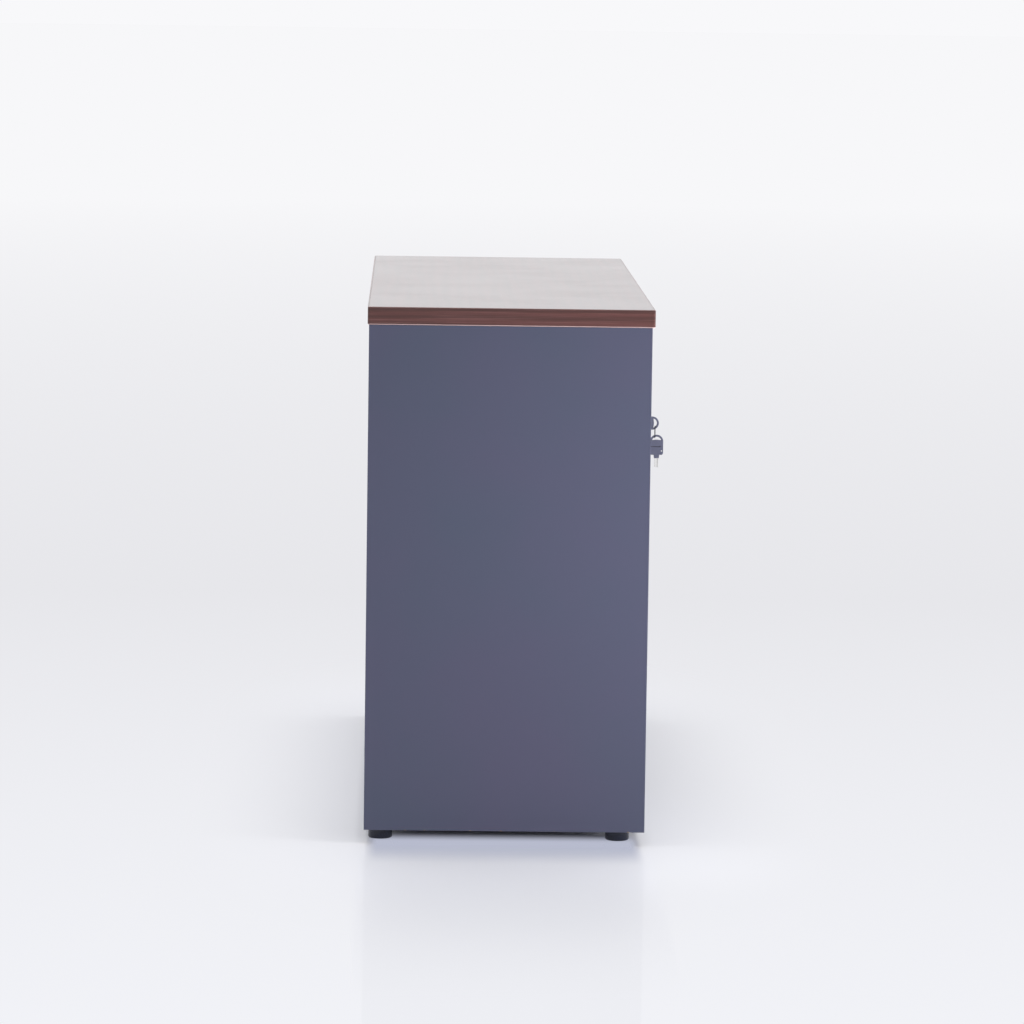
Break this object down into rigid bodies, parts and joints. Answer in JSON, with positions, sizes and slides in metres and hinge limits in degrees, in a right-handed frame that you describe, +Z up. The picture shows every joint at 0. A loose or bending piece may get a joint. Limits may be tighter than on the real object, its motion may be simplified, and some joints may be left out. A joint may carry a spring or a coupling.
{
  "type": "office credenza",
  "caption": "Low office cabinet with a wood-grain top, grey carcass, sliding doors on rollers, shelves, levelling feet and a push lock with its key and spare.",
  "frame": {"origin": "on the floor, under the middle of the whole outline with the hanging spare key included", "axes": "+X along the length towards the right end, -Y towards the doors (front), +Z up"},
  "size_m": [1.2, 0.4434, 0.755],
  "materials": {
    "brown_wood": "satin wood-grain melamine on board",
    "brown_band": "satin wood-grain plastic edge band",
    "grey_board": "satin grey melamine on board",
    "grey_edging": "satin grey plastic edging",
    "steel": "bright plated steel",
    "aluminium": "natural anodised",
    "white_nylon": "moulded nylon",
    "plated_zinc": "nickel plated zinc",
    "grey_plastic": "moulded grey plastic",
    "black_plastic": "moulded black plastic"
  },
  "bodies": {
    "carcass": {"back_panel": "grey_board", "bottom_edging": "grey_edging", "bottom_panel": "grey_board", "bottom_track": "aluminium", "centre_partition": "grey_board", "foot_insert_back_left": "white_nylon", "foot_insert_back_right": "white_nylon", "foot_insert_front_left": "white_nylon", "foot_insert_front_right": "white_nylon", "left_end_edging": "grey_edging", "left_end_panel": "grey_board", "left_shelf": "grey_board", "left_shelf_pin_1": "steel", "left_shelf_pin_2": "steel", "left_shelf_pin_3": "steel", "left_shelf_pin_4": "steel", "right_end_edging": "grey_edging", "right_end_panel": "grey_board", "right_shelf": "grey_board", "right_shelf_pin_1": "steel", "right_shelf_pin_2": "steel", "right_shelf_pin_3": "steel", "right_shelf_pin_4": "steel", "top_core": "brown_wood", "top_edge_band": "brown_band", "top_track": "aluminium"},
    "front_door": {"front_door": "grey_board", "front_pull": "black_plastic", "front_roller_housing_left": "black_plastic", "front_roller_housing_right": "black_plastic", "front_guide_left": "black_plastic", "front_guide_right": "black_plastic", "lock_body": "plated_zinc", "lock_nut": "steel"},
    "rear_door": {"rear_door": "grey_board", "rear_pull": "black_plastic", "rear_roller_housing_left": "black_plastic", "rear_roller_housing_right": "black_plastic", "rear_guide_left": "black_plastic", "rear_guide_right": "black_plastic", "strike_bush": "black_plastic"},
    "front_roller_wheel_left": {"front_roller_wheel_left": "white_nylon"},
    "front_roller_wheel_right": {"front_roller_wheel_right": "white_nylon"},
    "rear_roller_wheel_left": {"rear_roller_wheel_left": "white_nylon"},
    "rear_roller_wheel_right": {"rear_roller_wheel_right": "white_nylon"},
    "lock_plunger": {"lock_plunger": "plated_zinc"},
    "lock_plug": {"lock_plug": "steel"},
    "key": {"key_head": "grey_plastic", "key_blade": "steel"},
    "key_link": {"key_link": "steel"},
    "spare_key": {"spare_key_head": "grey_plastic", "spare_key_blade": "steel"},
    "foot_front_left": {"foot_front_left": "black_plastic"},
    "foot_front_right": {"foot_front_right": "black_plastic"},
    "foot_back_left": {"foot_back_left": "black_plastic"},
    "foot_back_right": {"foot_back_right": "black_plastic"}
  },
  "joints": [
    {"name": "front_door_slide", "type": "slide", "parent": "carcass", "child": "front_door", "axis": [-1, 0, 0], "range_m": [0, 0.563]},
    {"name": "rear_door_slide", "type": "slide", "parent": "carcass", "child": "rear_door", "axis": [1, 0, 0], "range_m": [0, 0.563]},
    {"name": "front_wheel_left_spin", "type": "hinge", "parent": "front_door", "child": "front_roller_wheel_left", "pos_m": [0.05, -0.15978, 0.0494], "axis": [0, 1, 0], "continuous": true},
    {"name": "front_wheel_right_spin", "type": "hinge", "parent": "front_door", "child": "front_roller_wheel_right", "pos_m": [0.513, -0.15978, 0.0494], "axis": [0, 1, 0], "continuous": true},
    {"name": "rear_wheel_left_spin", "type": "hinge", "parent": "rear_door", "child": "rear_roller_wheel_left", "pos_m": [-0.513, -0.13878, 0.0494], "axis": [0, 1, 0], "continuous": true},
    {"name": "rear_wheel_right_spin", "type": "hinge", "parent": "rear_door", "child": "rear_roller_wheel_right", "pos_m": [-0.05, -0.13878, 0.0494], "axis": [0, 1, 0], "continuous": true},
    {"name": "lock_push", "type": "slide", "parent": "front_door", "child": "lock_plunger", "axis": [0, 1, 0], "range_m": [0, 0.0075], "stiffness_N_per_m": 200, "springref_m": -0.004},
    {"name": "key_turn", "type": "hinge", "parent": "lock_plunger", "child": "lock_plug", "pos_m": [0, -0.17178, 0.5425], "axis": [0, 1, 0], "range_deg": [0, 90]},
    {"name": "key_pull", "type": "slide", "parent": "lock_plug", "child": "key", "axis": [0, -1, 0], "range_m": [0, 0.02]},
    {"name": "link_swing", "type": "hinge", "parent": "key", "child": "key_link", "pos_m": [0, -0.20892, 0.53514], "axis": [0, 1, 0], "range_deg": [-150, 150]},
    {"name": "spare_key_swing", "type": "hinge", "parent": "key_link", "child": "spare_key", "pos_m": [0, -0.20892, 0.52015], "axis": [-1, 0, 0], "range_deg": [-20, 30]},
    {"name": "foot_front_left_height", "type": "slide", "parent": "carcass", "child": "foot_front_left", "axis": [0, 0, -1], "range_m": [0, 0.01]},
    {"name": "foot_front_right_height", "type": "slide", "parent": "carcass", "child": "foot_front_right", "axis": [0, 0, -1], "range_m": [0, 0.01]},
    {"name": "foot_back_left_height", "type": "slide", "parent": "carcass", "child": "foot_back_left", "axis": [0, 0, -1], "range_m": [0, 0.01]},
    {"name": "foot_back_right_height", "type": "slide", "parent": "carcass", "child": "foot_back_right", "axis": [0, 0, -1], "range_m": [0, 0.01]}
  ],
  "couplings": [
    {"joint": "front_wheel_left_spin", "follows": "front_door_slide", "rad_per_m": -142.86},
    {"joint": "front_wheel_right_spin", "follows": "front_door_slide", "rad_per_m": -142.86},
    {"joint": "rear_wheel_left_spin", "follows": "rear_door_slide", "rad_per_m": 142.86},
    {"joint": "rear_wheel_right_spin", "follows": "rear_door_slide", "rad_per_m": 142.86},
    {"joint": "link_swing", "follows": "key_turn", "ratio": -1}
  ]
}
